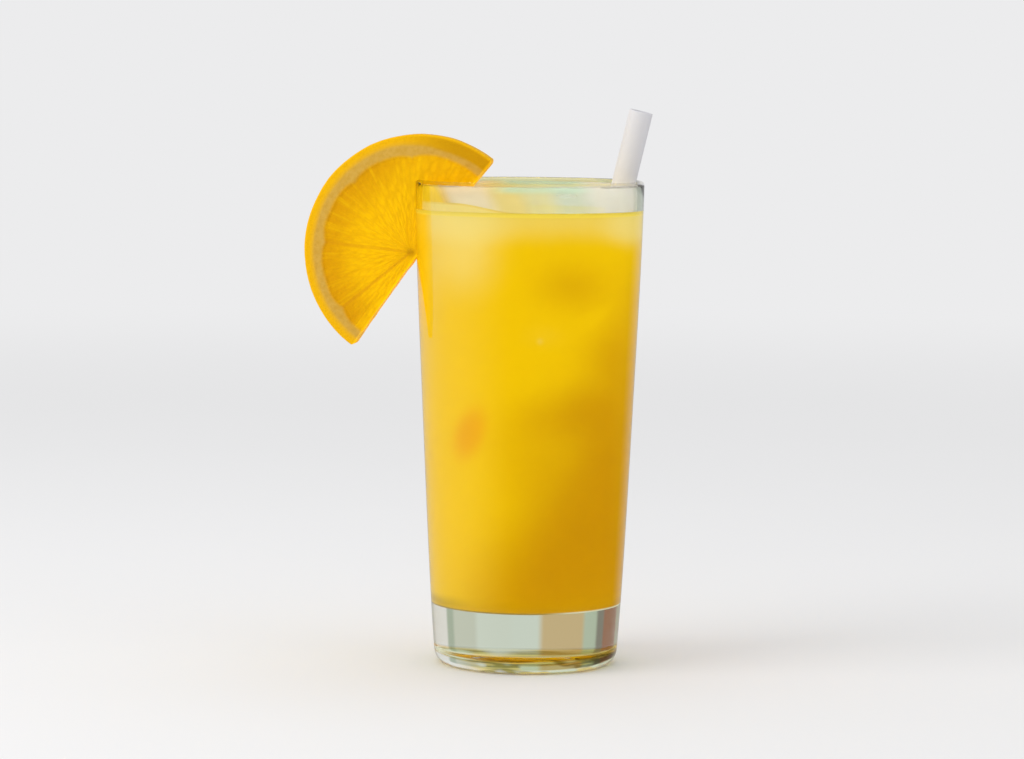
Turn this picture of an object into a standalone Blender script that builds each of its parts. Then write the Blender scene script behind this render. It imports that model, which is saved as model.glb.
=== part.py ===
"""Glass of orange cocktail: a tall straight glass on a thick base, filled nearly to its rim, with
half a wheel of orange slit over the rim and a straw leaning in the drink.

Metres, +Z up. The origin is the middle of the glass's flat foot, and the glass's axis is Z.
+X points to the side that the straw leans to, and -X to the side that the orange hangs on.
"""

import math

import bmesh
import bpy
from mathutils import Matrix, Vector

# The gap between pieces that touch
GAP = 0.0003

# The glass
RIM_RADIUS = 0.0350
GLASS_HEIGHT = 0.1480
BASE_RADIUS = 0.0282       # just above the heel
SIDE_BULGE = 0.00055       # how far the side stands out of a straight cone
WALL = 0.0020
FLOOR_THICKNESS = 0.0180   # the solid base under the drink
FOOT_RADIUS = 0.0249       # the flat that the glass stands on
HEEL_HEIGHT = 0.0050       # the rounding between foot and side
INNER_CORNER = 0.0060      # the rounding between the floor and the wall inside
GLASS_STEPS = 72

# The drink
DRINK_LEVEL = 0.1385
MENISCUS = 0.0006          # how far the drink climbs the wall

# The straw, which leans on the rim at +X and a little towards -Y
STRAW_RADIUS = 0.0036
STRAW_WALL = 0.00045
STRAW_SIDEWAYS = math.radians(13.1)
STRAW_FORWARD = math.radians(3.0)
STRAW_RIM_X = 0.0288       # of its axis, at the height of the rim
STRAW_PAST_RIM = 0.0218    # its length above the rim
STRAW_STEPS = 32

# The orange: half a wheel that stands on edge, its cut side slanting down towards the glass
WHEEL_RADIUS = 0.0358
WHEEL_THICKNESS = 0.0060
WHEEL_CENTRE = Vector((-0.0331, 0.0, 0.1260))
PEEL = 0.0028              # its coloured skin
PITH = 0.0034              # the white under the skin
PEEL_ROUNDING = 0.0009
FLESH_SINK = 0.0004        # how far the flesh lies under the pith on both faces
CUT_SLANT = math.radians(53.1)   # of the straight side, from the floor
CUT_PAST_CENTRE = 0.0012   # how far past the wheel's centre the knife went at the skin
CUT_HOLLOW = 0.0010        # how much the flesh has drawn back in the middle of the cut
WHEEL_TURN = math.radians(8.0)   # about Z, its inner end turned to -Y
WHEEL_STEPS = 96


def clear_scene():
    """Remove what the scene holds."""
    for thing in list(bpy.data.objects):
        bpy.data.objects.remove(thing, do_unlink=True)


def new_collection(name):
    group = bpy.data.collections.new(name)
    bpy.context.scene.collection.children.link(group)
    return group


def material(name, colour, roughness, metallic=0.0, transmission=0.0):
    """A plain Principled material with the piece's colour."""
    mat = bpy.data.materials.new(name)
    mat.use_nodes = True
    shader = mat.node_tree.nodes["Principled BSDF"]
    shader.inputs["Base Color"].default_value = (*colour, 1.0)
    shader.inputs["Roughness"].default_value = roughness
    shader.inputs["Metallic"].default_value = metallic
    shader.inputs["Transmission Weight"].default_value = transmission
    return mat


def add_object(name, mesh, group):
    thing = bpy.data.objects.new(name, mesh)
    group.objects.link(thing)
    return thing


def apply_modifiers(thing):
    """Replace an object's mesh by the one that its modifiers make."""
    shape = thing.evaluated_get(bpy.context.evaluated_depsgraph_get())
    mesh = bpy.data.meshes.new_from_object(shape)
    thing.modifiers.clear()
    old = thing.data
    thing.data = mesh
    bpy.data.meshes.remove(old)


def turned(name, profile, steps, group, closed=False):
    """Turn a profile of (radius, height) points about Z. It runs down the outer side.

    A closed profile makes a ring, and an open one starts and ends on the axis.
    """
    mesh = bpy.data.meshes.new(name)
    count = len(profile)
    edges = [(i, (i + 1) % count) for i in range(count if closed else count - 1)]
    mesh.from_pydata([(radius, 0.0, height) for radius, height in profile], edges, [])
    thing = add_object(name, mesh, group)
    screw = thing.modifiers.new("turn", "SCREW")
    screw.steps = steps
    screw.render_steps = steps
    screw.use_merge_vertices = True
    screw.merge_threshold = 0.00001
    apply_modifiers(thing)
    return thing


def cut(thing, cutter):
    """Cut a piece with another object."""
    boolean = thing.modifiers.new("cut", "BOOLEAN")
    boolean.operation = "DIFFERENCE"
    boolean.solver = "EXACT"
    boolean.object = cutter
    apply_modifiers(thing)


def hide_cutter(cutter):
    cutter.display_type = "WIRE"
    cutter.hide_render = True


def finish(thing, mat):
    """Give a piece its material and smooth shading with sharp edges."""
    thing.data.materials.clear()
    thing.data.materials.append(mat)
    thing.data.shade_smooth()
    thing.data.set_sharp_from_angle(angle=math.radians(35.0))


def arc(centre, radii, start, end, points):
    """Points on a quarter ellipse about a centre, between two angles in degrees."""
    angles = [math.radians(start + (end - start) * i / (points - 1)) for i in range(points)]
    return [(centre[0] + radii[0] * math.cos(a), centre[1] + radii[1] * math.sin(a)) for a in angles]


def outer_radius(height):
    """The glass's outside at a height: a cone that stands out a little between base and rim."""
    way = (height - HEEL_HEIGHT) / (GLASS_HEIGHT - HEEL_HEIGHT)
    straight = BASE_RADIUS + (RIM_RADIUS - BASE_RADIUS) * way
    return straight + SIDE_BULGE * (1 - (2 * way - 1) ** 4)


def inner_radius(height):
    return outer_radius(height) - WALL


def heights(low, high, count):
    return [low + (high - low) * i / (count - 1) for i in range(count)]


def glass_profile():
    """Half the glass's section, from the middle of its floor over the rim to the foot."""
    corner = INNER_CORNER
    corner_top = FLOOR_THICKNESS + corner
    corner_x = inner_radius(corner_top) - corner
    lip = WALL / 2
    lip_z = GLASS_HEIGHT - lip
    heel = (BASE_RADIUS - FOOT_RADIUS, HEEL_HEIGHT)
    floor = [(0.0, FLOOR_THICKNESS)]
    floor += arc((corner_x, corner_top), (corner, corner), -90, 0, 7)
    inside = [(inner_radius(z), z) for z in heights(corner_top, lip_z, 9)[1:-1]]
    rim = arc((outer_radius(lip_z) - lip, lip_z), (lip, lip), 180, 0, 7)
    outside = [(outer_radius(z), z) for z in heights(lip_z, HEEL_HEIGHT, 14)[1:-1]]
    foot = arc((FOOT_RADIUS, HEEL_HEIGHT), heel, 0, -90, 6)
    return floor + inside + rim + outside + foot + [(0.0, 0.0)]


def drink_profile():
    """Half the drink's section, from the middle of its top to the middle of its underside."""
    corner = INNER_CORNER
    corner_top = FLOOR_THICKNESS + corner
    corner_x = inner_radius(corner_top) - corner
    edge_z = DRINK_LEVEL + MENISCUS
    edge_x = inner_radius(edge_z) - GAP
    surface = [(0.0, DRINK_LEVEL), (edge_x - 5 * MENISCUS, DRINK_LEVEL)]
    surface += [(edge_x - 2 * MENISCUS, DRINK_LEVEL + MENISCUS / 4)]
    side = [(inner_radius(z) - GAP, z) for z in heights(edge_z, corner_top, 10)[:-1]]
    bottom = arc((corner_x, corner_top), (corner - GAP, corner - GAP), 0, -90, 7)
    return surface + side + bottom + [(0.0, FLOOR_THICKNESS + GAP)]


def straw_tube(name, grow, group):
    """The straw as a leaning tube. grow thickens its wall both ways and lengthens it."""
    outer = STRAW_RADIUS + grow
    inner = STRAW_RADIUS - STRAW_WALL - grow
    way = Vector((math.tan(STRAW_SIDEWAYS), -math.tan(STRAW_FORWARD), 1.0)).normalized()
    # The lower edge of its square end stands on the glass's floor
    foot_z = FLOOR_THICKNESS + GAP + STRAW_RADIUS * math.sin(way.angle(Vector((0.0, 0.0, 1.0))))
    sunk = (GLASS_HEIGHT - foot_z) / way.z
    foot = Vector((STRAW_RIM_X, 0.0, GLASS_HEIGHT)) - way * sunk
    top = sunk + STRAW_PAST_RIM + grow
    ring = [(outer, top), (outer, -grow), (inner, -grow), (inner, top)]
    tube = turned(name, ring, STRAW_STEPS, group, closed=True)
    tube.data.transform(Matrix.Translation(foot) @ way.to_track_quat("Z", "Y").to_matrix().to_4x4())
    return tube


def wheel_profile(grow):
    """Half the section of the whole orange wheel: flesh, pith and rounded skin."""
    half = WHEEL_THICKNESS / 2 + grow
    radius = WHEEL_RADIUS + grow
    turn = PEEL_ROUNDING
    flesh = WHEEL_RADIUS - PEEL - PITH
    sunk = half - FLESH_SINK
    top = [(0.0, sunk), (flesh, sunk), (flesh + PITH / 2, half)]
    top += arc((radius - turn, half - turn), (turn, turn), 90, 0, 4)
    return top + [(r, -z) for r, z in reversed(top)]


def straight_side_cutter(grow, group):
    """A slab beyond the orange's straight side, whose near face bulges into the flesh."""
    reach = 3 * WHEEL_RADIUS
    near = -CUT_PAST_CENTRE - grow
    points = [(-reach, near - reach), (reach, near - reach), (reach, near)]
    bulge = [WHEEL_RADIUS * (1 - i / 6) for i in range(13)]
    points += [(x, near + CUT_HOLLOW * (1 - (x / WHEEL_RADIUS) ** 2)) for x in bulge]
    points += [(-reach, near)]
    shape = bmesh.new()
    outline = [shape.verts.new((x, z, -reach)) for x, z in points]
    face = shape.faces.new(outline)
    solid = bmesh.ops.extrude_face_region(shape, geom=[face])
    raised = [item for item in solid["geom"] if isinstance(item, bmesh.types.BMVert)]
    bmesh.ops.translate(shape, verts=raised, vec=(0.0, 0.0, 2 * reach))
    bmesh.ops.recalc_face_normals(shape, faces=shape.faces)
    mesh = bpy.data.meshes.new("straight_side")
    shape.to_mesh(mesh)
    shape.free()
    return add_object("straight_side", mesh, group)


def half_wheel(name, grow, group, cutters):
    """Half a wheel of orange in its place, grown by grow on every side, without its slit."""
    wheel = turned(name, wheel_profile(grow), WHEEL_STEPS, group)
    side = straight_side_cutter(grow, cutters)
    cut(wheel, side)
    bpy.data.objects.remove(side, do_unlink=True)
    # The wheel was turned about Z with its straight side along X: stand it up, slant it, turn it
    stand = Matrix.Rotation(math.radians(90), 4, "X")
    slant = Matrix.Rotation(-CUT_SLANT, 4, "Y")
    turn = Matrix.Rotation(-WHEEL_TURN, 4, "Z")
    wheel.data.transform(Matrix.Translation(WHEEL_CENTRE) @ turn @ slant @ stand)
    return wheel


def rim_clearance(group):
    """The glass's wall near the rim, grown by the gap: it cuts the orange's slit."""
    low = WHEEL_CENTRE.z - WHEEL_RADIUS / 2
    top = GLASS_HEIGHT + GAP
    outside = [(outer_radius(z) + GAP, z) for z in heights(top - GAP - WALL / 2, low, 6)]
    inside = [(inner_radius(z) - GAP, z) for z in heights(low, top - GAP - WALL / 2, 6)]
    lip = WALL / 2 + GAP
    middle = (outer_radius(GLASS_HEIGHT - WALL / 2) - WALL / 2, GLASS_HEIGHT - WALL / 2)
    over = arc(middle, (lip, lip), 180, 0, 7)[1:-1]
    return turned("rim_clearance", outside + inside + over, GLASS_STEPS, group, closed=True)


def make_glass(parts):
    glass = turned("glass", glass_profile(), GLASS_STEPS, parts)
    finish(glass, material("clear glass", (0.93, 0.97, 0.95), 0.02, transmission=1.0))


def make_straw(parts):
    straw = straw_tube("straw", 0.0, parts)
    finish(straw, material("white straw", (0.86, 0.84, 0.82), 0.4))


def make_orange(parts, cutters):
    orange = half_wheel("orange_slice", 0.0, parts, cutters)
    slit = rim_clearance(cutters)
    cut(orange, slit)
    hide_cutter(slit)
    finish(orange, material("orange", (0.93, 0.50, 0.01), 0.45))


def make_drink(parts, cutters):
    """The drink, cut round the orange and the straw. It fills the straw's bore too."""
    drink = turned("drink", drink_profile(), GLASS_STEPS, parts)
    round_orange = half_wheel("round_orange", GAP, cutters, cutters)
    round_straw = straw_tube("round_straw", GAP, cutters)
    cut(drink, round_orange)
    cut(drink, round_straw)
    hide_cutter(round_orange)
    hide_cutter(round_straw)
    finish(drink, material("orange drink", (0.90, 0.56, 0.0), 0.3))


def main():
    clear_scene()
    parts = new_collection("glass of orange cocktail")
    cutters = new_collection("cutters")
    make_glass(parts)
    make_straw(parts)
    make_orange(parts, cutters)
    make_drink(parts, cutters)


main()
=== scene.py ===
import math

import bmesh
import bpy
from bpy.props import FloatProperty, FloatVectorProperty, IntProperty, PointerProperty
from mathutils import Matrix, Vector, noise


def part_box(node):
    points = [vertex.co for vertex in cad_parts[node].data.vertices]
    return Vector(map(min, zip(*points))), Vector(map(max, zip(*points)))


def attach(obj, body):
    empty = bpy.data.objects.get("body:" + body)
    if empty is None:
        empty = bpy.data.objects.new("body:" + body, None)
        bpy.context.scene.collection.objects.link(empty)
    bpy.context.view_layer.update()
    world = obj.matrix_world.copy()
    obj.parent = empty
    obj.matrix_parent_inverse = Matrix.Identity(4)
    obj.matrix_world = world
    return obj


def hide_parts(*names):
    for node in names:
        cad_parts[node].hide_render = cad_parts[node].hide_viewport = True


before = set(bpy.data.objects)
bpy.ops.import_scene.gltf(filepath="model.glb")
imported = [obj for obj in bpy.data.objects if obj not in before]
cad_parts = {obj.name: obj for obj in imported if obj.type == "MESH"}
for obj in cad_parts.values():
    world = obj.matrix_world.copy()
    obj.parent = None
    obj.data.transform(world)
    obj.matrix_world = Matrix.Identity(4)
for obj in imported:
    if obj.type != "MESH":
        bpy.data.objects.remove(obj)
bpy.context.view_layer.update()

bl_info = {
    "name": "Glass of orange cocktail",
    "version": (1, 0, 0),
    "blender": (4, 5, 0),
    "location": "View3D > Sidebar > Cocktail",
    "description": "A tall glass of cloudy orange cocktail with half a wheel of orange and a straw",
    "category": "Object",
}

GLASS_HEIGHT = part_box("glass")[1][2]
DRINK_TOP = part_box("drink")[1][2]
# How far the drink climbs the wall, in metres
MENISCUS = 0.0006


def srgb(red, green, blue):
    """A colour as a screen shows it, from 0 to 255, as linear light for a shader."""
    return tuple(
        part / 12.92 if part <= 0.04045 else ((part + 0.055) / 1.055) ** 2.4
        for part in (red / 255, green / 255, blue / 255)
    )


def length(name, description, default):
    """A setting in metres."""
    return FloatProperty(
        name=name, description=description, default=default, unit="LENGTH", precision=5
    )


def angle(name, description, degrees):
    """A setting that is an angle, given in degrees."""
    return FloatProperty(
        name=name, description=description, default=math.radians(degrees), subtype="ANGLE"
    )


def colour(name, description, red, green, blue):
    """A setting that is a colour, given as a screen shows it."""
    return FloatVectorProperty(
        name=name, description=description, default=srgb(red, green, blue), subtype="COLOR", size=3
    )


class GlassSettings(bpy.types.PropertyGroup):
    """Sizes and tints of the glass."""

    rim_radius: length("Rim radius", "Outside radius at the rim", 0.0350)
    height: length("Height", "From the foot to the rim", GLASS_HEIGHT)
    base_radius: length("Base radius", "Outside radius just above the heel", 0.0282)
    bulge: length("Bulge", "How far the side stands out of a straight cone", 0.00055)
    wall: length("Wall", "Thickness of the wall", 0.0020)
    floor: length("Base thickness", "Solid glass under the drink", 0.0180)
    foot_radius: length("Foot radius", "The flat that the glass stands on", 0.0249)
    heel: length("Heel", "Height of the rounding above the foot", 0.0050)
    corner: length("Corner", "Rounding between the floor and the wall inside", 0.0060)
    tint: colour("Tint", "What the glass lets through", 250, 254, 251)
    # The heel's colours are painted: reflections of the drink's underside in shade and in light, greenish
    # clear glass, and darker brown streaks
    heel_painted_shade: colour("Heel shade", "The heel where it mirrors the drink's underside", 120, 105, 30)
    heel_painted_glow: colour("Heel glow", "The heel where it gathers the drink's colour", 236, 200, 90)
    heel_painted_green: colour("Heel green", "The heel where it is clear", 214, 226, 178)
    heel_painted_brown: colour("Heel brown", "The darker streaks at the heel's right end", 92, 86, 44)
    # Painted reflection: the drink's colour as the far lip shows it
    far_lip_reflection: colour("Far lip", "The lip at the back, which takes the drink's colour", 252, 238, 120)


class DrinkSettings(bpy.types.PropertyGroup):
    """Level and colours of the drink."""

    level: length("Level", "Height of the drink's surface", DRINK_TOP - MENISCUS)
    meniscus: length("Meniscus", "How far the drink climbs the wall", MENISCUS)
    reach: length("Reach", "How far the drink goes into the wall, so that no air shows", 0.00012)
    body: colour("Body", "The drink itself", 239, 198, 0)
    # Deep is partly clearer juice and partly painted shade on the side away from the light
    deep: colour("Deep", "Where the drink is clearest", 206, 150, 0)
    cloud: colour("Cloud", "Where pulp and foam make it pale", 240, 216, 124)
    fruit: colour("Fruit", "Orange pieces near the wall", 234, 170, 0)
    margin: colour("Margin", "The edge next to the orange", 255, 203, 0)
    # Painted light: the right edge where light comes through
    lit_edge: colour("Lit edge", "The right edge, where light comes through", 228, 182, 10)
    # Painted shade in the corner and along the hem at the left, and painted light along the pale hem at the
    # right
    corner: colour("Corner", "The brown shade in the lower left corner", 122, 98, 30)
    hem: colour("Hem", "The line along the glass's floor, at the left", 170, 140, 56)
    pale_hem: colour("Pale hem", "The same line at the right", 218, 216, 188)
    brim: colour("Brim", "The line of the surface against the wall", 255, 226, 78)
    # Painted shade on the underside, with paler and greenish painted patches, for what the heel shows of it
    under: colour("Underside", "The drink's shaded underside", 142, 124, 40)
    under_pale: colour("Pale underside", "Its paler patches", 212, 196, 112)
    under_green: colour("Green underside", "Its greenish patches", 206, 216, 168)


class StrawSettings(bpy.types.PropertyGroup):
    """Sizes and place of the straw."""

    radius: length("Radius", "Outside radius", 0.0036)
    wall: length("Wall", "Thickness of its wall", 0.00045)
    sideways: angle("Sideways", "Its lean towards +X", 13.1)
    forward: angle("Forward", "Its lean towards -Y", 3.0)
    rim_x: length("At the rim", "X of its axis at the height of the rim", 0.0288)
    past_rim: length("Past the rim", "Its length above the rim", 0.0218)
    white: colour("White", "The straw's colour", 222, 221, 225)


class OrangeSettings(bpy.types.PropertyGroup):
    """Sizes, place and colours of the half wheel of orange."""

    radius: length("Radius", "Of the whole wheel", 0.0358)
    thickness: length("Thickness", "Of the wheel", 0.0060)
    centre: FloatVectorProperty(
        name="Centre", description="Middle of the wheel", default=(-0.0331, 0.0, 0.1260), subtype="XYZ"
    )
    slant: angle("Slant", "Of the straight side, from the floor", 53.1)
    turn: angle("Turn", "About Z, its inner end towards -Y", 8.0)
    past_centre: length("Past centre", "How far past the wheel's centre it is cut", 0.0012)
    hollow: length("Hollow", "How far the flesh draws back in the middle of the cut", 0.0010)
    peel: length("Peel", "Thickness of the coloured skin", 0.0028)
    pith: length("Pith", "Thickness of the pale layer under it", 0.0031)
    flesh_colour: colour("Flesh", "The flesh in the light", 253, 196, 0)
    deep_colour: colour("Deep flesh", "The flesh next to the pith", 217, 153, 2)
    pith_colour: colour("Pith", "The layer under the skin", 211, 167, 72)
    peel_colour: colour("Peel", "The skin", 240, 182, 8)
    juicy_colour: colour("Juicy flesh", "Bright streaks in the flesh", 255, 206, 4)
    membrane_colour: colour("Membranes", "Between the segments", 214, 146, 14)
    core_colour: colour("Core", "Where the membranes meet", 206, 146, 16)
    fibre_colour: colour("Fibres", "The darker parts of the pith", 205, 159, 60)
    pore_colour: colour("Pores", "The dots in the skin", 226, 158, 4)
    inner_skin: colour("Inner skin", "The skin next to the pith", 228, 174, 40)
    # Painted shade on the skin's slanting edge at the upper end
    shaded_end_skin: colour("End skin", "The skin's slanting edge at the upper end", 205, 152, 4)


class StageSettings(bpy.types.PropertyGroup):
    """The camera and the light."""

    distance: length("Distance", "From the camera to the glass's axis", 1.150)
    eye: length("Eye height", "Of the camera above the foot", 0.1835)
    pitch: angle("Pitch", "How far the camera looks down", 4.8)
    swing: angle("Swing", "How far the camera looks to the left of the glass", 0.243)
    roll: angle("Roll", "The camera's tilt", 0.5)
    daylight: FloatProperty(name="Daylight", description="Even light from all round", default=0.78)
    inner_light: FloatProperty(
        name="Inner light", description="Even light on what is in the glass", default=1.85
    )
    backdrop: colour("Backdrop", "The plain surround", 236, 236, 237)
    focal: FloatProperty(
        name="Focal length", description="In pixels of a frame 1024 wide", default=3768.0
    )
    frame_width: IntProperty(name="Frame width", description="Pixels across the frame", default=1024)


class Value:
    """A number in a material's node tree. Arithmetic on it adds Math nodes."""

    def __init__(self, recipe, socket):
        self.recipe = recipe
        self.socket = socket

    def math(self, operation, *others):
        """A Math node with this number first."""
        inputs = dict(enumerate((self, *others)))
        return self.recipe.node("ShaderNodeMath", {"operation": operation}, inputs)

    def __add__(self, other):
        return self.math("ADD", other)

    __radd__ = __add__

    def __mul__(self, other):
        return self.math("MULTIPLY", other)

    __rmul__ = __mul__

    def __sub__(self, other):
        return self.math("SUBTRACT", other)

    def __rsub__(self, other):
        return self * -1.0 + other

    def __truediv__(self, other):
        return self.math("DIVIDE", other)

    def __pow__(self, other):
        return self.math("POWER", other)

    def smooth(self, low, high):
        """0 below low, 1 above high and a soft step between. high may be the lower number."""
        settings = {"interpolation_type": "SMOOTHSTEP", "clamp": True}
        return self.recipe.node(
            "ShaderNodeMapRange", settings, {"Value": self, "From Min": low, "From Max": high}
        )


class Recipe:
    """A material, or the world's surround, while it is written."""

    def __init__(self, name, world=False):
        self.material = (bpy.data.worlds if world else bpy.data.materials).new(name)
        self.material.use_nodes = True
        self.tree = self.material.node_tree
        self.tree.nodes.clear()
        self.end = self.tree.nodes.new("ShaderNodeOutputWorld" if world else "ShaderNodeOutputMaterial")
        shader = "ShaderNodeBackground" if world else "ShaderNodeBsdfPrincipled"
        self.shader = self.tree.nodes.new(shader)
        self.tree.links.new(self.shader.outputs[0], self.end.inputs["Surface"])

    def node(self, kind, settings=None, inputs=None, output=0):
        """Add a node, with its settings and what its sockets hold or are fed by."""
        made = self.tree.nodes.new(kind)
        for name, setting in (settings or {}).items():
            setattr(made, name, setting)
        for name, value in (inputs or {}).items():
            self.feed(made.inputs[name], value)
        return Value(self, made.outputs[output])

    def feed(self, socket, value):
        """Link a Value to a socket, or set the socket to a number, a colour or a vector."""
        if isinstance(value, Value):
            self.tree.links.new(value.socket, socket)
        elif socket.type == "RGBA" and len(value) == 3:
            socket.default_value = (*value, 1.0)
        else:
            socket.default_value = value

    def set(self, **inputs):
        """Set the shader's own sockets, with _ for a space in a name."""
        for name, value in inputs.items():
            self.feed(self.shader.inputs[name.replace("_", " ")], value)

    def place(self):
        """The point that is shaded, in the object's metres."""
        return self.node("ShaderNodeTexCoord", output="Object")

    def mapped(self, where, location=(0, 0, 0), rotation=(0, 0, 0), scale=(1, 1, 1), kind="POINT"):
        """A place moved, turned and scaled, or with kind TEXTURE, seen from a frame that is."""
        sockets = {"Vector": where, "Location": location, "Rotation": rotation, "Scale": scale}
        return self.node("ShaderNodeMapping", {"vector_type": kind}, sockets)

    def parts(self, vector):
        """A vector's three numbers."""
        made = self.tree.nodes.new("ShaderNodeSeparateXYZ")
        self.tree.links.new(vector.socket, made.inputs[0])
        return [Value(self, out) for out in made.outputs]

    def combine(self, x, y, z):
        """A vector, or a colour, of three numbers."""
        return self.node("ShaderNodeCombineXYZ", inputs={0: x, 1: y, 2: z})

    def mix(self, first, second, factor):
        """first where factor is 0 and second where it is 1."""
        return self.node(
            "ShaderNodeMix", {"data_type": "RGBA"}, {0: factor, 6: first, 7: second}, output=2
        )

    def noise(self, where, scale, detail=2.0, roughness=0.5):
        """Soft patches round 0.5."""
        sockets = {"Vector": where, "Scale": scale, "Detail": detail, "Roughness": roughness}
        return self.node("ShaderNodeTexNoise", inputs=sockets)

    def cells(self, where, scale):
        """How far a point is from the middle of its cell."""
        return self.node("ShaderNodeTexVoronoi", {"feature": "F1"}, {"Vector": where, "Scale": scale})

    def blob(self, where, centre, radii):
        """1 at the centre of a soft ellipsoid and 0 outside it."""
        inverse = tuple(1 / radius for radius in radii)
        moved = self.node("ShaderNodeVectorMath", {"operation": "SUBTRACT"}, {0: where, 1: centre})
        scaled = self.node("ShaderNodeVectorMath", {"operation": "MULTIPLY"}, {0: moved, 1: inverse})
        far = self.node("ShaderNodeVectorMath", {"operation": "LENGTH"}, {0: scaled}, output="Value")
        return far.smooth(1.0, 0.0)

    def tilted_blob(self, where, soft_place):
        """A blob of a centre, radii and a tilt in degrees, its right end up where that is positive."""
        centre, radii, tilt = soft_place
        own = self.mapped(where, centre, (0, math.radians(-tilt), 0), kind="TEXTURE")
        return self.blob(own, (0, 0, 0), radii)

    def bump(self, height, distance, strength=1.0):
        """A surface that looks raised by a height, 1 of which stands for a distance in metres."""
        sockets = {"Height": height, "Distance": distance, "Strength": strength}
        return self.node("ShaderNodeBump", inputs=sockets)


def arc(centre, radii, start, end, count):
    """Points on an ellipse about a centre, between two angles in degrees."""
    angles = [math.radians(start + (end - start) * i / (count - 1)) for i in range(count)]
    return [(centre[0] + radii[0] * math.cos(a), centre[1] + radii[1] * math.sin(a)) for a in angles]


def spread(low, high, count):
    """Evenly spaced numbers from low to high, both with them."""
    return [low + (high - low) * i / (count - 1) for i in range(count)]


def turned(profile, steps, closed=False):
    """A bmesh of a profile of (radius, height) points, spun once round Z."""
    shape = bmesh.new()
    points = [shape.verts.new((radius, 0.0, height)) for radius, height in profile]
    pairs = list(zip(points, points[1:] + points[:1] if closed else points[1:]))
    edges = [shape.edges.new(pair) for pair in pairs]
    bmesh.ops.spin(
        shape, geom=points + edges, cent=(0, 0, 0), axis=(0, 0, 1), angle=math.tau, steps=steps,
        use_merge=True,
    )
    bmesh.ops.remove_doubles(shape, verts=shape.verts, dist=1e-6)
    bmesh.ops.recalc_face_normals(shape, faces=shape.faces)
    return shape


def piece(name, shape, material, node=None):
    """Make a bmesh an object of the cocktail that rides on its one body."""
    mesh = bpy.data.meshes.new(name)
    shape.to_mesh(mesh)
    shape.free()
    mesh.materials.append(material)
    mesh.shade_smooth()
    made = bpy.data.objects.new(name, mesh)
    bpy.context.scene.collection.objects.link(made)
    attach(made, "root")
    if node:
        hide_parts(node)
    return made


def outer_radius(glass, height):
    """The glass's outside at a height."""
    way = (height - glass.heel) / (glass.height - glass.heel)
    straight = glass.base_radius + (glass.rim_radius - glass.base_radius) * way
    return straight + glass.bulge * (1 - (2 * way - 1) ** 4)


def inner_radius(glass, height):
    """The glass's inside at a height, above the rounding of its floor."""
    return outer_radius(glass, height) - glass.wall


# Over what height the heel's streaks fade out, and how much lower they end at the back, in metres
HEEL_FADE = 0.0016
# How far below the rim the lip starts to fade, and from where it is faintest
LIP_FADE = (0.0019, 0.0010)
# How much of the lip is clear in front and at the back
CLEAR_FRONT, CLEAR_BACK = 0.85, 0.40
# Where the wall stands in the orange's slit, outwards along X and either way along Y
SLIT_X, SLIT_Y = (-0.0320, -0.0332), (0.011, 0.007)
# What a surface of the glass lets through of a lamp's light
SHADOW_TINT = (0.32, 0.33, 0.32, 1.0)


def glass_material(glass):
    """Clear glass that lets lamps through. Its rounded heel carries the drink's colour in streaks of
    painted reflection and painted shade.
    """
    recipe = Recipe("clear_glass")
    at = recipe.place()
    x, y, z = recipe.parts(at)
    streaks = recipe.noise(recipe.mapped(at, scale=(70, 70, 900)), 1.0, 2.0)
    patches = recipe.noise(recipe.mapped(at, scale=(110, 110, 260)), 1.0, 1.0)
    # Painted reflections in the heel: the drink's underside in shade and in light, greenish clear glass,
    # and painted darker brown at the right end
    glow = recipe.mix(tuple(glass.heel_painted_shade), tuple(glass.heel_painted_glow), streaks.smooth(0.42, 0.60))
    glow = recipe.mix(glow, tuple(glass.heel_painted_green), patches.smooth(0.50, 0.62))
    brown = (x - y * 0.3).smooth(0.018, 0.028) * streaks.smooth(0.62, 0.45)
    glow = recipe.mix(glow, tuple(glass.heel_painted_brown), brown)
    # The flat of the foot and the heel's left end stay clear
    wall = (x * x + y * y).math("SQRT").smooth(glass.foot_radius - 0.002, glass.foot_radius)
    heel_top = y.smooth(-0.010, 0.010) * -HEEL_FADE + glass.heel * 1.16
    heel = z.smooth(heel_top, heel_top - HEEL_FADE) * wall * (x + y * 0.3).smooth(-0.029, -0.019)
    tint = recipe.mix(tuple(glass.tint), glow, heel * patches.smooth(0.25, 0.45))
    # The thin lip hardly shows in front, and at the back takes a painted reflection of the drink's colour
    slit = x.smooth(*SLIT_X) * y.math("ABSOLUTE").smooth(*SLIT_Y)
    lip = z.smooth(*(glass.height - depth for depth in LIP_FADE)) * (1.0 - slit)
    back = y.smooth(0.004, 0.016)
    tint = recipe.mix(tint, tuple(glass.far_lip_reflection), lip * back * 0.8)
    recipe.set(
        Base_Color=tint, Roughness=0.0, IOR=1.5, Transmission_Weight=1.0, Specular_IOR_Level=0.5,
        Alpha=1.0 - lip * (back * (CLEAR_BACK - CLEAR_FRONT) + CLEAR_FRONT),
    )
    # A lamp's light goes straight through and is dimmed
    clear = recipe.node("ShaderNodeBsdfTransparent", inputs={"Color": SHADOW_TINT})
    lamp = recipe.node("ShaderNodeLightPath", output="Is Shadow Ray")
    both = recipe.node(
        "ShaderNodeMixShader", inputs={0: lamp, 1: Value(recipe, recipe.shader.outputs[0]), 2: clear}
    )
    recipe.feed(recipe.end.inputs["Surface"], both)
    return recipe.material


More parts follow.
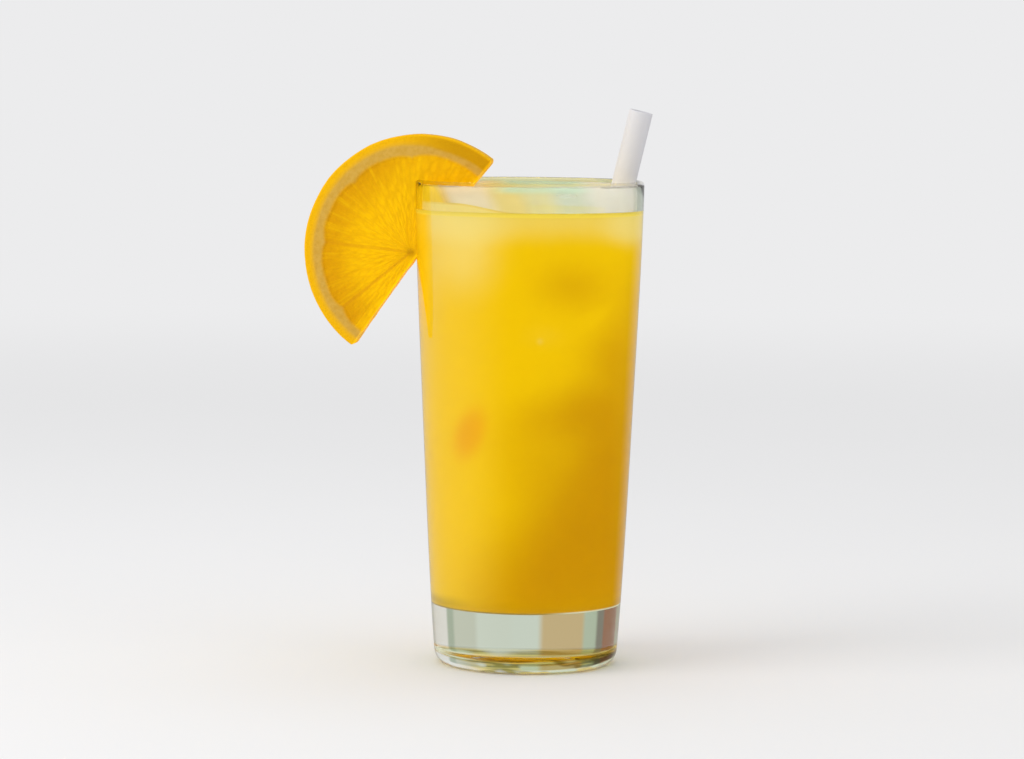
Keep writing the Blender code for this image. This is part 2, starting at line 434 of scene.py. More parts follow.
class COCKTAIL_OT_glass(bpy.types.Operator):
    """Turn the glass: a thin wall on a thick base"""

    bl_idname = "cocktail.glass"
    bl_label = "Glass"

    def execute(self, context):
        glass = context.scene.cocktail_glass
        corner_top = glass.floor + glass.corner
        corner_x = inner_radius(glass, corner_top) - glass.corner
        lip = glass.wall / 2
        lip_z = glass.height - lip
        profile = [(0.0, glass.floor)]
        profile += [(x, glass.floor) for x in spread(0.0, corner_x, 6)[1:-1]]
        profile += arc((corner_x, corner_top), (glass.corner, glass.corner), -90, 0, 12)
        profile += [(inner_radius(glass, z), z) for z in spread(corner_top, lip_z, 26)[1:-1]]
        profile += arc((outer_radius(glass, lip_z) - lip, lip_z), (lip, lip), 180, 0, 14)
        profile += [(outer_radius(glass, z), z) for z in spread(lip_z, glass.heel, 32)[1:-1]]
        heel = (glass.base_radius - glass.foot_radius, glass.heel)
        profile += arc((glass.foot_radius, glass.heel), heel, 0, -90, 14)
        # The foot is a ring: its middle is drawn up a little
        ring, rise = glass.foot_radius - 0.003, 0.0004
        ways = spread(0.0, 1.0, 7)[1:]
        profile += [(ring * (1 - way), rise * math.sin(way * math.pi / 2)) for way in ways]
        shape = turned(profile, 144)
        piece("glass_fine", shape, glass_material(glass), "glass")
        return {"FINISHED"}


# Soft places in the drink: centre, radii and strength. Some hold clearer and darker juice, and some
# are paler with pulp or with ice just behind the glass; the tall one along the left edge is painted light
DARK_PLACES = (
    ((0.012, -0.028, 0.117), (0.020, 0.020, 0.013), 0.40),
    ((0.024, -0.022, 0.098), (0.014, 0.018, 0.013), 0.16),
    ((0.011, -0.028, 0.080), (0.025, 0.020, 0.013), 0.30),
    ((-0.004, -0.031, 0.071), (0.020, 0.018, 0.022), 0.24),
)
PALE_PLACES = (
    ((-0.019, -0.026, 0.128), (0.020, 0.030, 0.024), 0.65),
    # Painted light from the left: a tall pale place along the left edge
    ((-0.030, -0.010, 0.110), (0.010, 0.030, 0.070), 0.22),
    ((0.032, -0.012, 0.134), (0.018, 0.030, 0.010), 0.70),
    ((0.0034, -0.0308, 0.1010), (0.0018, 0.0040, 0.0018), 0.28),
    ((0.0040, -0.0300, 0.1020), (0.0110, 0.0120, 0.0070), 0.14),
)
# Long soft places, with a tilt in degrees: a streak of clear juice, and a piece of fruit
CLEAR_STREAK = ((0.0145, -0.028, 0.1050), (0.0165, 0.020, 0.0035), 33.0)
FRUIT_PIECE = ((-0.0176, -0.0265, 0.0722), (0.0078, 0.014, 0.0148), -24.0)
# Where the flat of the drink's underside ends, from the axis, and the height of the hem above it
FLAT_END = (0.0195, 0.0205)
HEM = (0.0007, 0.0003)


def drink_material(glass, drink):
    """Cloudy juice: amber low on the right, partly where it is clear and partly painted shade away from the
    light; pale where pulp and foam gather.
    """
    recipe = Recipe("orange_drink")
    at = recipe.place()
    x, y, z = recipe.parts(at)
    drift = recipe.noise(at, 28.0, 2.0)
    fine = recipe.noise(at, 110.0, 3.0)
    # Darker amber towards the lower right: partly clearer juice, partly painted shade away from the light
    border = (z - 0.045) * 0.6 - 0.008
    deep = (x - border).smooth(-0.022, 0.030)
    for centre, radii, amount in DARK_PLACES:
        deep = deep + recipe.blob(at, centre, radii) * amount
    deep = deep - recipe.tilted_blob(at, CLEAR_STREAK) * 0.35
    deep = deep + (drift - 0.5) * 0.35
    body = recipe.mix(tuple(drink.body), tuple(drink.deep), deep.smooth(-0.05, 1.05))
    cloud = z.smooth(0.1270, 0.1365) * 0.55
    for centre, radii, amount in PALE_PLACES:
        cloud = cloud + recipe.blob(at, centre, radii) * amount
    cloud = cloud + (fine - 0.5) * 0.12
    body = recipe.mix(body, tuple(drink.cloud), cloud.smooth(0.0, 1.1))
    fruit = recipe.tilted_blob(at, FRUIT_PIECE).smooth(0.0, 0.9)
    body = recipe.mix(body, tuple(drink.fruit), fruit * 0.9)
    # Next to the orange the edge is as yellow as its flesh
    margin = x.smooth(-0.0275, -0.0310) * z.smooth(0.098, 0.112)
    body = recipe.mix(body, tuple(drink.margin), margin * 0.85)
    # Painted light at the right, where the light comes through the edge
    lit_edge = x.smooth(0.023, 0.031) * z.smooth(0.125, 0.105)
    body = recipe.mix(body, tuple(drink.lit_edge), lit_edge * 0.5)
    # A painted brown shade in the lower left corner, and the line where the drink meets the glass's floor,
    # painted as shade at the left and as a pale line of light at the right
    corner = (x + y * 0.35).smooth(-0.022, -0.030)
    corner = corner * z.smooth(glass.floor + 0.0050, glass.floor + 0.0015)
    body = recipe.mix(body, tuple(drink.corner), corner * 0.45)
    away = (x * x + y * y).math("SQRT")
    hem = recipe.mix(tuple(drink.hem), tuple(drink.pale_hem), x.smooth(0.004, 0.014))
    low = z.smooth(*(glass.floor + height for height in HEM))
    body = recipe.mix(body, hem, low * away.smooth(*FLAT_END))
    # The underside is painted in shade, with paler and greenish painted patches, and shows in the heel of
    # the glass
    under = z.smooth(glass.floor + 0.0012, glass.floor + 0.0002) * x.smooth(-0.022, -0.014)
    patches = recipe.noise(at, 160.0, 1.0)
    shade = recipe.mix(tuple(drink.under), tuple(drink.under_pale), patches.smooth(0.36, 0.50))
    shade = recipe.mix(shade, tuple(drink.under_green), patches.smooth(0.52, 0.64))
    body = recipe.mix(body, shade, under * away.smooth(*reversed(FLAT_END)))
    # The line of the surface against the wall
    brim = z.smooth(drink.level - 0.0009, drink.level - 0.0004)
    body = recipe.mix(body, tuple(drink.brim), brim * 0.7)
    top = z.smooth(drink.level - 0.0004, drink.level - 0.0001)
    recipe.set(
        Base_Color=body, Roughness=0.45, IOR=1.33, Specular_IOR_Level=0.05,
        Coat_Weight=top * 0.8, Coat_Roughness=0.12, Coat_IOR=1.33,
        Normal=recipe.bump(fine, 0.0002, 0.3),
    )
    return recipe.material


class COCKTAIL_OT_drink(bpy.types.Operator):
    """Fill the glass with the drink, just into the wall"""

    bl_idname = "cocktail.drink"
    bl_label = "Drink"

    def execute(self, context):
        glass, drink = context.scene.cocktail_glass, context.scene.cocktail_drink
        corner_top = glass.floor + glass.corner
        corner_x = inner_radius(glass, corner_top) - glass.corner
        edge_z = drink.level + drink.meniscus
        edge_x = inner_radius(glass, edge_z)
        # How far from the wall the drink starts to climb it
        climb = 0.003
        profile = [(x, drink.level) for x in spread(0.0, edge_x - climb, 24)]
        profile += [
            (edge_x - climb * (1 - t), drink.level + drink.meniscus * t ** 3)
            for t in spread(0.0, 1.0, 9)[1:]
        ]
        profile += [
            (inner_radius(glass, z) + drink.reach, z) for z in spread(edge_z, corner_top, 60)
        ]
        reach = glass.corner + drink.reach
        profile += arc((corner_x, corner_top), (reach, reach), 0, -90, 14)[1:]
        profile += [(x, glass.floor - drink.reach) for x in spread(corner_x, 0.0, 8)[1:]]
        shape = turned(profile, 144)
        piece("drink_fine", shape, drink_material(glass, drink), "drink")
        return {"FINISHED"}


def straw_material(straw):
    """Thin white straw with a soft sheen."""
    recipe = Recipe("white_straw")
    at = recipe.place()
    tone = recipe.noise(at, 160.0, 3.0)
    white = recipe.mix(tuple(straw.white), tuple(part * 0.94 for part in straw.white), tone)
    recipe.set(Base_Color=white, Roughness=0.38, Normal=recipe.bump(tone, 0.00003))
    return recipe.material


class COCKTAIL_OT_straw(bpy.types.Operator):
    """Lean the straw in the glass"""

    bl_idname = "cocktail.straw"
    bl_label = "Straw"

    def execute(self, context):
        glass, straw = context.scene.cocktail_glass, context.scene.cocktail_straw
        inside = straw.radius - straw.wall
        middle = straw.radius - straw.wall / 2
        way = Vector((math.tan(straw.sideways), -math.tan(straw.forward), 1.0)).normalized()
        lean = way.angle(Vector((0.0, 0.0, 1.0)))
        clear_of_floor = 0.0003
        foot_z = glass.floor + clear_of_floor + straw.radius * math.sin(lean)
        sunk = (glass.height - foot_z) / way.z
        foot = Vector((straw.rim_x, 0.0, glass.height)) - way * sunk
        top = sunk + straw.past_rim
        half = straw.wall / 2
        profile = arc((middle, top - half), (half, half), 180, 0, 7)
        profile += [(straw.radius, h) for h in spread(top - half, half, 40)[1:-1]]
        profile += arc((middle, half), (half, half), 0, -180, 7)
        profile += [(inside, h) for h in spread(half, top - half, 40)[1:-1]]
        shape = turned(profile, 48, closed=True)
        place = Matrix.Translation(foot) @ way.to_track_quat("Z", "Y").to_matrix().to_4x4()
        bmesh.ops.transform(shape, matrix=place, verts=shape.verts)
        piece("straw_fine", shape, straw_material(straw), "straw")
        return {"FINISHED"}


# Where the membranes between the segments leave the core, in degrees from the straight side
MEMBRANES = (-17.0, 36.4, 76.0, 121.0, 166.4, 205.0, 245.0, 290.0, 325.0)
CORE = (-0.0018, 0.0020)
# The middle of the flesh, whose pith is thicker on the upper side than on the lower
FLESH_CENTRE = (-0.0005, 0.0002)
# The pith reaches in at each membrane, by a depth and within an angle, and wavers a little elsewhere
SCALLOP, SCALLOP_ANGLE, WOBBLE = 0.0010, 0.20, 0.0004
# Juice sacs for a radian round the core and for a metre out from it
SACS_AROUND, SACS_OUT = 17.0, 330.0


def wheel_place(orange):
    """From the wheel's own frame, its straight side along X and its faces to -Y and Y, to its place."""
    slant = Matrix.Rotation(-orange.slant, 4, "Y")
    turn = Matrix.Rotation(-orange.turn, 4, "Z")
    return Matrix.Translation(Vector(orange.centre)) @ turn @ slant


def nearest_membrane(around):
    """The angle between a direction from the core and the nearest membrane."""
    return min(abs(math.remainder(around - math.radians(m), math.tau)) for m in MEMBRANES)


def eased(way):
    """A number from 0 to 1, with a soft start and end."""
    return way * way * (3 - 2 * way)


def flesh_edge(orange, x, z):
    """How far a point lies inside the pith's scalloped inner edge, in metres."""
    nearest = nearest_membrane(math.atan2(z - CORE[1], x - CORE[0]))
    scallop = SCALLOP * (1 - min(nearest / SCALLOP_ANGLE, 1.0)) ** 2
    wobble = WOBBLE * noise.noise((x * 400, 0.3, z * 400))
    away = math.hypot(x - FLESH_CENTRE[0], z - FLESH_CENTRE[1])
    return orange.radius - orange.peel - orange.pith - scallop + wobble - away


def membrane_gap(x, z):
    """Distance from the nearest membrane, in metres."""
    dx, dz = x - CORE[0], z - CORE[1]
    nearest = nearest_membrane(math.atan2(dz, dx))
    return math.hypot(dx, dz) * math.sin(min(nearest, math.pi / 2))


def face_relief(orange, x, z, side):
    """How far the cut face lies under the skin's edge at a point."""
    pith_depth, flesh_depth, dome_height, sac_depth = 0.00010, 0.00035, 0.00025, 0.00028
    inside = flesh_edge(orange, x, z)
    if inside <= 0:
        return pith_depth * (1 + noise.noise((x * 700, side, z * 700)))
    core = math.hypot(x - CORE[0], z - CORE[1])
    # Each segment swells between its membranes, the pith and the core
    core_radius, dome_reach = 0.0012, 0.0022
    wall = min(membrane_gap(x, z), inside, max(core - core_radius, 0.0))
    dome = eased(min(wall / dome_reach, 1.0))
    around = math.atan2(z - CORE[1], x - CORE[0])
    # Juice sacs: long cells that point at the core
    sac = noise.voronoi(Vector((around * SACS_AROUND, core * SACS_OUT, side * 9.0)))[0][0]
    sacs = sac_depth * min(sac, 1.0) * dome
    sunk = eased(min(inside / 0.0008, 1.0))
    return pith_depth + flesh_depth * sunk - dome_height * dome + sacs


def wheel_shape(orange):
    """The whole wheel with its relief, still round and in its own frame."""
    half = orange.thickness / 2
    round_off, pore_depth, swell_height = 0.0009, 0.00009, 0.00012
    rings = 92
    flat = orange.radius - round_off
    top = [(r, half) for r in spread(0.0, flat, rings)]
    edge = arc((flat, half - round_off), (round_off, round_off), 90, 0, 5)[1:]
    side = [(orange.radius, z) for z in spread(half - round_off, round_off - half, 12)[1:-1]]
    back = [(r, -z) for r, z in reversed(top + edge)]
    shape = turned(top + edge + side + back, 300)
    bmesh.ops.rotate(shape, verts=shape.verts, cent=(0, 0, 0), matrix=Matrix.Rotation(math.pi / 2, 3, "X"))
    for point in shape.verts:
        x, y, z = point.co
        away = math.hypot(x, z)
        if abs(y) > half - 1e-6:
            side_sign = math.copysign(1.0, y)
            point.co.y = y - side_sign * face_relief(orange, x, z, side_sign)
        elif away > flat:
            around = math.atan2(z, x) * orange.radius
            pores = noise.voronoi(Vector((around * 900, y * 900, 0.0)))[0][0]
            swell = noise.noise(Vector((around * 120, y * 120, 4.0)))
            raised = swell_height * swell - pore_depth * (1 - min(pores, 1.0))
            grow = 1 + raised / orange.radius
            point.co.x, point.co.z = x * grow, z * grow
    return shape


def straight_side(orange):
    """The knife: a slab whose near face carries the flesh's relief, for a Boolean."""
    shape = bmesh.new()
    reach = orange.radius * 1.2
    sac_depth, corner_reach, corner_depth = 0.00035, 0.0016, 0.0008
    bmesh.ops.create_grid(shape, x_segments=170, y_segments=16, size=1.0)
    bmesh.ops.scale(shape, vec=(reach, orange.thickness, 1.0), verts=shape.verts)
    for point in shape.verts:
        x, y, _ = point.co
        along = x / orange.radius
        hollow = orange.hollow * (1 - along * along)
        inside = min(max(orange.radius - orange.peel - orange.pith - abs(x), 0.0) / 0.002, 1.0)
        sacs = noise.voronoi(Vector((x * 260, y * 420, 7.0)))[0][0]
        relief = inside * sac_depth * (min(sacs, 1.0) - 0.5)
        # The knife's way out leaves the skin's corners a little round
        corner = min(max((abs(x) - orange.radius) / corner_reach + 1.0, 0.0), 1.5) ** 2
        point.co.z = hollow - orange.past_centre + relief + corner * corner_depth
    made = bmesh.ops.extrude_face_region(shape, geom=shape.faces[:])
    lowered = [item for item in made["geom"] if isinstance(item, bmesh.types.BMVert)]
    for point in lowered:
        point.co.z = -2 * orange.radius
    bmesh.ops.recalc_face_normals(shape, faces=shape.faces)
    return shape


def rim_wall(glass, orange):
    """The glass's wall near the rim, made a hair thinner, to cut the orange's slit."""
    # The flesh presses on the wall and over the lip, so no air shows
    press, over_lip = 0.00008, 0.0008
    low = orange.centre[2] - orange.radius / 2
    lip = glass.wall / 2
    lip_z = glass.height - lip - over_lip
    end = (lip - press, lip - press)
    profile = [(outer_radius(glass, z) - press, z) for z in spread(lip_z, low, 10)]
    profile += [(inner_radius(glass, z) + press, z) for z in spread(low, lip_z, 10)]
    profile += arc((outer_radius(glass, lip_z) - lip, lip_z), end, 180, 0, 10)[1:-1]
    return turned(profile, 144, closed=True)


def subtract(made, shape):
    """Take a bmesh out of an object for good."""
    mesh = bpy.data.meshes.new("cutter")
    shape.to_mesh(mesh)
    shape.free()
    cutter = bpy.data.objects.new("cutter", mesh)
    bpy.context.scene.collection.objects.link(cutter)
    boolean = made.modifiers.new("cut", "BOOLEAN")
    boolean.operation = "DIFFERENCE"
    boolean.solver = "EXACT"
    boolean.object = cutter
    cut = bpy.data.meshes.new_from_object(made.evaluated_get(bpy.context.evaluated_depsgraph_get()))
    made.modifiers.clear()
    made.data = cut
    bpy.data.objects.remove(cutter, do_unlink=True)
    bpy.data.meshes.remove(mesh)


def orange_material(orange):
    """Flesh in segments, pith and skin, told apart by the distance from the wheel's middle."""
    recipe = Recipe("orange_fruit")
    place = wheel_place(orange)
    own = recipe.mapped(
        recipe.place(), tuple(orange.centre), tuple(place.to_euler("XYZ")), kind="TEXTURE"
    )
    x, y, z = recipe.parts(own)
    core_x, core_z = x - CORE[0], z - CORE[1]
    away = (x * x + z * z).math("SQRT")
    core = (core_x * core_x + core_z * core_z).math("SQRT")
    around = core_z.math("ARCTAN2", core_x)
    fine = recipe.noise(own, 900.0, 3.0)
    broad = recipe.noise(own, 160.0, 2.0)
    # The nearest membrane of the half that is left, and how far a point is from it
    nearest = None
    for membrane in MEMBRANES[:5]:
        gap = (around - math.radians(membrane)).math("ABSOLUTE")
        nearest = gap if nearest is None else nearest.math("MINIMUM", gap)
    beside = core * nearest.math("MINIMUM", 1.5).math("SINE")
    scallop = (1 - nearest / SCALLOP_ANGLE).math("MAXIMUM", 0.0) ** 2 * SCALLOP
    wobble = (broad - 0.5) * (2 * WOBBLE)
    edge = scallop * -1.0 + wobble + (orange.radius - orange.peel - orange.pith)
    flesh_x, flesh_z = x - FLESH_CENTRE[0], z - FLESH_CENTRE[1]
    inside = edge - (flesh_x * flesh_x + flesh_z * flesh_z).math("SQRT")
    sacs = recipe.cells(recipe.combine(around * SACS_AROUND, core * SACS_OUT, y * 200.0), 1.0)
    streaks = recipe.noise(recipe.combine(around * 26.0, core * 90.0, y * 100.0), 1.0, 3.0)
    # The flesh is darker next to the pith, but hardly so towards the upper end
    lower = around.smooth(math.radians(25), math.radians(70)) * 0.65 + 0.30
    flesh = recipe.mix(
        tuple(orange.flesh_colour), tuple(orange.deep_colour), away.smooth(0.016, 0.0295) * lower
    )
    flesh = recipe.mix(flesh, tuple(orange.deep_colour), sacs.smooth(0.25, 0.75) * 0.30)
    flesh = recipe.mix(flesh, tuple(orange.juicy_colour), streaks.smooth(0.45, 0.75) * 0.30)
    # The membranes show most towards the lower end
    shown = around.smooth(math.radians(60), math.radians(165)) * 0.42 + 0.10
    thin = beside.smooth(0.00080, 0.00010) * shown
    flesh = recipe.mix(flesh, tuple(orange.membrane_colour), thin)
    flesh = recipe.mix(flesh, tuple(orange.core_colour), core.smooth(0.0018, 0.0005) * 0.5)
    pith = recipe.mix(tuple(orange.pith_colour), tuple(orange.fibre_colour), fine.smooth(0.35, 0.7))
    pulp = recipe.mix(pith, flesh, inside.smooth(-0.0008, 0.0006))
    # Towards the upper end more of the skin's slanting edge shows, and it is darker with painted shade
    end = around.smooth(math.radians(48), math.radians(12)) * x.smooth(0.0, 0.004)
    skin_depth = (broad - 0.5) * 0.0005 + away + end * 0.0014
    start = orange.radius - orange.peel
    pores = recipe.cells(own, 900.0)
    dots = pores.smooth(0.5, 0.0) * 0.4
    skin = recipe.mix(tuple(orange.peel_colour), tuple(orange.pore_colour), dots)
    outer = skin_depth.smooth(start - 0.0002, start + 0.0014)
    skin = recipe.mix(tuple(orange.inner_skin), skin, outer)
    slanting = end * away.smooth(orange.radius - 0.0002, orange.radius - 0.0012)
    skin = recipe.mix(skin, tuple(orange.shaded_end_skin), slanting)
    whole = recipe.mix(pulp, skin, skin_depth.smooth(start - 0.0008, start + 0.0004))
    # A painted glow, by emission, stands for the light that comes through the thin flesh at the straight
    # side
    cut_z = orange.hollow - orange.past_centre
    level_with_cut = z + x * x * (orange.hollow / orange.radius ** 2)
    cut_face_glow = level_with_cut.smooth(cut_z + 0.0007, cut_z + 0.0002)
    wet = inside.smooth(-0.0002, 0.0004)
    recipe.set(
        Base_Color=whole, Roughness=0.45 - wet * 0.12, IOR=1.38, Specular_IOR_Level=0.1,
        Normal=recipe.bump(fine + pores * 0.8 + sacs * wet * 1.2, 0.00012, 0.8),
        Emission_Color=recipe.mix((0.0, 0.0, 0.0), tuple(orange.flesh_colour), cut_face_glow * 0.30),
        Emission_Strength=1.0,
    )
    return recipe.material


class COCKTAIL_OT_orange(bpy.types.Operator):
    """Cut half a wheel of orange and slit it over the rim"""

    bl_idname = "cocktail.orange"
    bl_label = "Orange"

    def execute(self, context):
        glass, orange = context.scene.cocktail_glass, context.scene.cocktail_orange
        made = piece(
            "orange_half_wheel", wheel_shape(orange), orange_material(orange), "orange_slice",
        )
        subtract(made, straight_side(orange))
        made.data.transform(wheel_place(orange))
        subtract(made, rim_wall(glass, orange))
        made.data.shade_smooth()
        made.data.set_sharp_from_angle(angle=math.radians(50))
        return {"FINISHED"}


# The veil above the drink: its colour at the left end and how much it hides there, and then from left
# to right where each tone starts, in metres from the axis along X, its colour and how much it hides
# The veil's whitish tones at the left are partly a painted highlight
VEIL_START = ((250, 230, 180), 0.45)
VEIL = (
    (-0.0240, (248, 226, 191), 0.90),
    (-0.0120, (253, 228, 146), 0.72),
    (-0.0020, (244, 234, 180), 0.44),
    (0.0070, (226, 232, 214), 0.34),
    (0.0170, (244, 238, 232), 0.46),
)
# How far either way a tone blends into the next
VEIL_BLEND = 0.0035
# The veil beside the orange, under the rim, in the foam and along the foam's edge
FLESH_TONE, RIM_TONE, FOAM_TONE, LINE_TONE = (255, 207, 0), (196, 226, 202), (254, 224, 126), (250, 214, 96)
# How high the foam stands at the left
FOAM_RISE = 0.0026


def film_material(glass, drink):
    """The veil that the drink has left on the wall above its level, thickest on the left."""
    recipe = Recipe("juice_film")
    at = recipe.place()
    x, y, z = recipe.parts(at)
    runs = recipe.noise(recipe.mapped(at, scale=(45, 45, 20)), 1.0, 1.0)
    across = x + (runs - 0.5) * 0.006 + (z - (drink.level + 0.0045)) * 0.5
    tone, thick = srgb(*VEIL_START[0]), VEIL_START[1]
    hidden = thick
    for start, colour_there, hides in VEIL:
        step = across.smooth(start - VEIL_BLEND, start + VEIL_BLEND)
        tone = recipe.mix(tone, srgb(*colour_there), step)
        thick = step * (hides - hidden) + thick
        hidden = hides
    thick = thick * (z.smooth(glass.height, glass.height - 0.0060) * 0.45 + 0.55)
    # In front, beside the orange, it is as yellow as the flesh
    yellow = across.smooth(-0.0222, -0.0262) * y.smooth(0.002, -0.006)
    tone = recipe.mix(tone, srgb(*FLESH_TONE), yellow)
    thick = thick.math("MAXIMUM", yellow * 0.97)
    # Under the middle of the rim the veil is greenish
    green = z.smooth(glass.height - 0.0038, glass.height - 0.0020)
    green = green * x.smooth(-0.0130, -0.0050) * x.smooth(0.0210, 0.0120)
    tone = recipe.mix(tone, srgb(*RIM_TONE), green * 0.8)
    thick = thick + green * 0.15
    # On the left foam stands above the drink and ends in a darker line
    crest = z - (drink.level + 0.0004) - x.smooth(-0.003, -0.022) * FOAM_RISE
    foam = crest.smooth(0.0002, -0.0002) * x.smooth(-0.0045, -0.0065)
    tone = recipe.mix(tone, srgb(*FOAM_TONE), foam)
    line = crest.math("ABSOLUTE").smooth(0.00045, 0.00010) * x.smooth(0.002, -0.006)
    tone = recipe.mix(tone, srgb(*LINE_TONE), line)
    thick = thick.math("MAXIMUM", foam * 0.92).math("MAXIMUM", line * 0.8)
    recipe.set(Base_Color=tone, Roughness=0.6, Alpha=thick, IOR=1.33)
    return recipe.material


class COCKTAIL_OT_film(bpy.types.Operator):
    """Leave a veil of juice on the wall above the drink"""

    bl_idname = "cocktail.film"
    bl_label = "Juice film"

    def execute(self, context):
        glass, drink = context.scene.cocktail_glass, context.scene.cocktail_drink
        low, high = drink.level + 0.0002, glass.height - 0.0012
        gap, thick = 0.00005, 0.00006
        profile = [(inner_radius(glass, z) - gap, z) for z in spread(high, low, 14)]
        profile += [(inner_radius(glass, z) - gap - thick, z) for z in spread(low, high, 14)]
        shape = turned(profile, 144, closed=True)
        piece("juice_film", shape, film_material(glass, drink))
        return {"FINISHED"}


def floor_material(pale):
    """Matt and pale near the glass, and one with the surround further off, so no horizon shows."""
    recipe = Recipe("pale_floor")
    at = recipe.place()
    x, y, _ = recipe.parts(at)
    tone = recipe.noise(at, 3.0, 4.0)
    near = recipe.mix(srgb(234, 234, 235), srgb(231, 231, 232), tone)
    far = (x * x + y * y).math("SQRT").smooth(0.35, 1.7)
    recipe.set(
        Base_Color=recipe.mix(near, (0.0, 0.0, 0.0), far), Roughness=0.9, Specular_IOR_Level=0.0,
        Emission_Color=recipe.mix((0.0, 0.0, 0.0), pale, far), Emission_Strength=1.0,
    )
    return recipe.material


def lamp(name, place, target, size, power, tone=(1.0, 1.0, 1.0)):
    """A large soft lamp at a place, aimed at a target."""
    light = bpy.data.lights.new(name, "AREA")
    light.shape = "RECTANGLE"
    light.size, light.size_y = size
    light.energy = power
    light.color = tone
    made = bpy.data.objects.new(name, light)
    made.location = place
    made.rotation_euler = (Vector(target) - Vector(place)).to_track_quat("-Z", "Y").to_euler()
    made.visible_glossy = False
    made.visible_transmission = False
    bpy.context.scene.collection.objects.link(made)
    return made


# What stands round the table and shows, bent sideways, through the glass's thick base: the angle
# from straight behind the glass at which a card starts, towards +X, and its colour
CARDS = (
    (-80.0, (165, 155, 130)),
    (-66.0, (152, 106, 82)),
    (-44.0, (130, 125, 113)),
    (-37.0, (177, 187, 165)),
    (-27.0, (198, 173, 128)),
    (-6.0, (204, 210, 197)),
    (22.0, (193, 196, 180)),
    (38.0, (162, 173, 154)),
    (45.0, (224, 220, 214)),
    (72.0, (190, 185, 170)),
)
FIRST_CARD = (190, 185, 170)
# How far either way a card blends into the next, in radians
CARD_BLEND = 0.03
# Where the cards fade above and below, as the sine of the angle from level, and behind how many
# surfaces of glass they are gone
CARD_END, CARD_SURFACES = (0.30, 0.20), (3.6, 2.4)


def surround(stage):
    """The studio round the glass: even light, a plain backdrop, and what shows in and through glass."""
    recipe = Recipe("studio", world=True)
    facing = recipe.node("ShaderNodeTexCoord", output="Generated")
    x, y, z = recipe.parts(facing)
    pale = tuple(stage.backdrop)
    around = (x / y).math("ARCTANGENT")
    cards = srgb(*FIRST_CARD)
    for start, tone in CARDS:
        edge = math.radians(start)
        step = around.smooth(edge - CARD_BLEND, edge + CARD_BLEND)
        cards = recipe.mix(cards, srgb(*tone), step)
    level = z.math("ABSOLUTE").smooth(*CARD_END)
    path = recipe.node("ShaderNodeLightPath", output="Is Camera Ray")
    outputs = path.socket.node.outputs
    # The cards show through one thickness of glass, but not through a wall in front of another
    crossed = Value(recipe, outputs["Transmission Depth"])
    through = recipe.mix(pale, cards, level * crossed.smooth(*CARD_SURFACES))
    # What glass mirrors: a window to the left, the backdrop behind, and little from the camera's side
    side = (x * -0.85 + y * 0.5).smooth(-0.3, 1.0) * 0.55 + 0.02
    side = side.math("MAXIMUM", y.smooth(0.55, 0.97) * 0.45)
    glow = recipe.combine(side, side, side)
    mirrored = Value(recipe, outputs["Is Glossy Ray"]) * Value(recipe, outputs["Is Reflection Ray"])
    seen = recipe.mix((stage.daylight,) * 3, pale, path)
    # The light that falls on the drink through the glass
    lit = (x.math("MAXIMUM", 0.0) * 0.10 + x * 0.04 + 1.0) * stage.inner_light
    scattered = Value(recipe, outputs["Diffuse Depth"]).smooth(0.4, 0.6)
    through = recipe.mix(through, recipe.combine(lit, lit, lit), scattered)
    seen = recipe.mix(seen, through, Value(recipe, outputs["Is Transmission Ray"]))
    seen = recipe.mix(seen, glow, mirrored)
    recipe.set(Color=seen, Strength=1.0)
    # Only rays that the pieces send out meet the surround, so each kind sees its own
    recipe.material.cycles.sampling_method = "NONE"
    return recipe.material


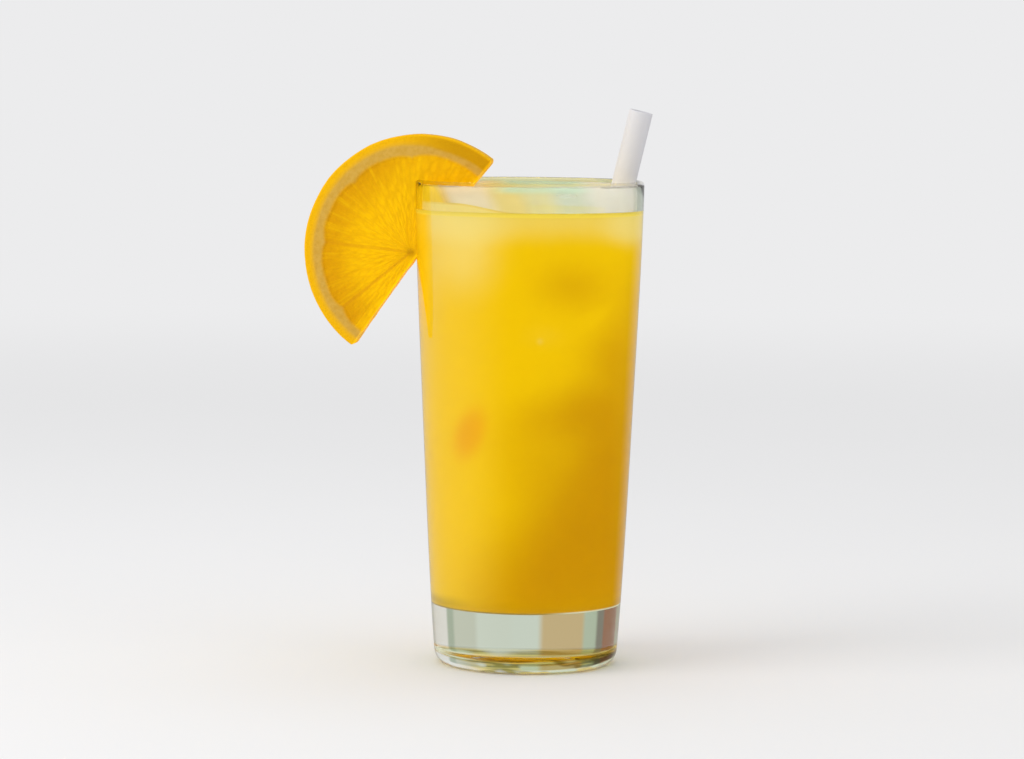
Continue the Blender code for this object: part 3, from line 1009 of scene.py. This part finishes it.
class COCKTAIL_OT_stage(bpy.types.Operator):
    """Set the floor, the light and the camera"""

    bl_idname = "cocktail.stage"
    bl_label = "Stage"

    def execute(self, context):
        stage = context.scene.cocktail_stage
        scene = context.scene
        shape = bmesh.new()
        bmesh.ops.create_circle(shape, cap_ends=True, segments=128, radius=12.0)
        mesh = bpy.data.meshes.new("floor")
        shape.to_mesh(mesh)
        shape.free()
        mesh.materials.append(floor_material(tuple(stage.backdrop)))
        floor = bpy.data.objects.new("floor", mesh)
        # Just under the foot, so that the two faces don't share a plane
        floor.location.z = -0.0002
        scene.collection.objects.link(floor)
        # Glass shows the surround alone, as in a studio with cards round the table
        floor.visible_glossy = False
        floor.visible_transmission = False
        middle = (0.0, 0.0, 0.08)
        lamp("key", (-0.95, -0.50, 0.60), middle, (0.8, 0.9), 6.0)
        lamp("top", (0.1, 0.2, 1.4), middle, (1.2, 1.2), 3.0)
        lamp("fill", (0.9, -0.6, 0.4), middle, (0.8, 0.8), 0.8)
        scene.world = surround(stage)
        self.camera(scene, stage)
        scene.view_settings.view_transform = "Standard"
        scene.view_settings.look = "None"
        return {"FINISHED"}

    def camera(self, scene, stage):
        """Stand the camera where the photo was taken from."""
        lens = bpy.data.cameras.new("camera")
        lens.sensor_width = 36.0
        lens.lens = lens.sensor_width * stage.focal / stage.frame_width
        camera = bpy.data.objects.new("camera", lens)
        camera.location = (0.0, -stage.distance, stage.eye)
        look = Matrix.Rotation(stage.swing, 4, "Z")
        look = look @ Matrix.Rotation(math.pi / 2 - stage.pitch, 4, "X")
        look = look @ Matrix.Rotation(stage.roll, 4, "Z")
        camera.rotation_euler = look.to_euler()
        scene.collection.objects.link(camera)
        scene.camera = camera


class COCKTAIL_PT_panel(bpy.types.Panel):
    """The cocktail's pieces and sizes"""

    bl_idname = "COCKTAIL_PT_panel"
    bl_label = "Cocktail"
    bl_space_type = "VIEW_3D"
    bl_region_type = "UI"
    bl_category = "Cocktail"

    def draw(self, context):
        for operator in OPERATORS:
            self.layout.operator(operator.bl_idname)


SETTINGS = {
    "cocktail_glass": GlassSettings,
    "cocktail_drink": DrinkSettings,
    "cocktail_straw": StrawSettings,
    "cocktail_orange": OrangeSettings,
    "cocktail_stage": StageSettings,
}
OPERATORS = (
    COCKTAIL_OT_stage,
    COCKTAIL_OT_glass,
    COCKTAIL_OT_drink,
    COCKTAIL_OT_film,
    COCKTAIL_OT_straw,
    COCKTAIL_OT_orange,
)


def register():
    """Add the settings, the operators and the panel to Blender."""
    for kind in (*SETTINGS.values(), *OPERATORS, COCKTAIL_PT_panel):
        bpy.utils.register_class(kind)
    for name, kind in SETTINGS.items():
        setattr(bpy.types.Scene, name, PointerProperty(type=kind))


def unregister():
    """Take them out again."""
    for name in SETTINGS:
        delattr(bpy.types.Scene, name)
    for kind in (COCKTAIL_PT_panel, *reversed(OPERATORS), *reversed(SETTINGS.values())):
        bpy.utils.unregister_class(kind)


def main():
    """Build the cocktail and its stage."""
    register()
    bpy.ops.cocktail.stage()
    bpy.ops.cocktail.glass()
    bpy.ops.cocktail.drink()
    bpy.ops.cocktail.film()
    bpy.ops.cocktail.straw()
    bpy.ops.cocktail.orange()


if __name__ == "__main__":
    main()
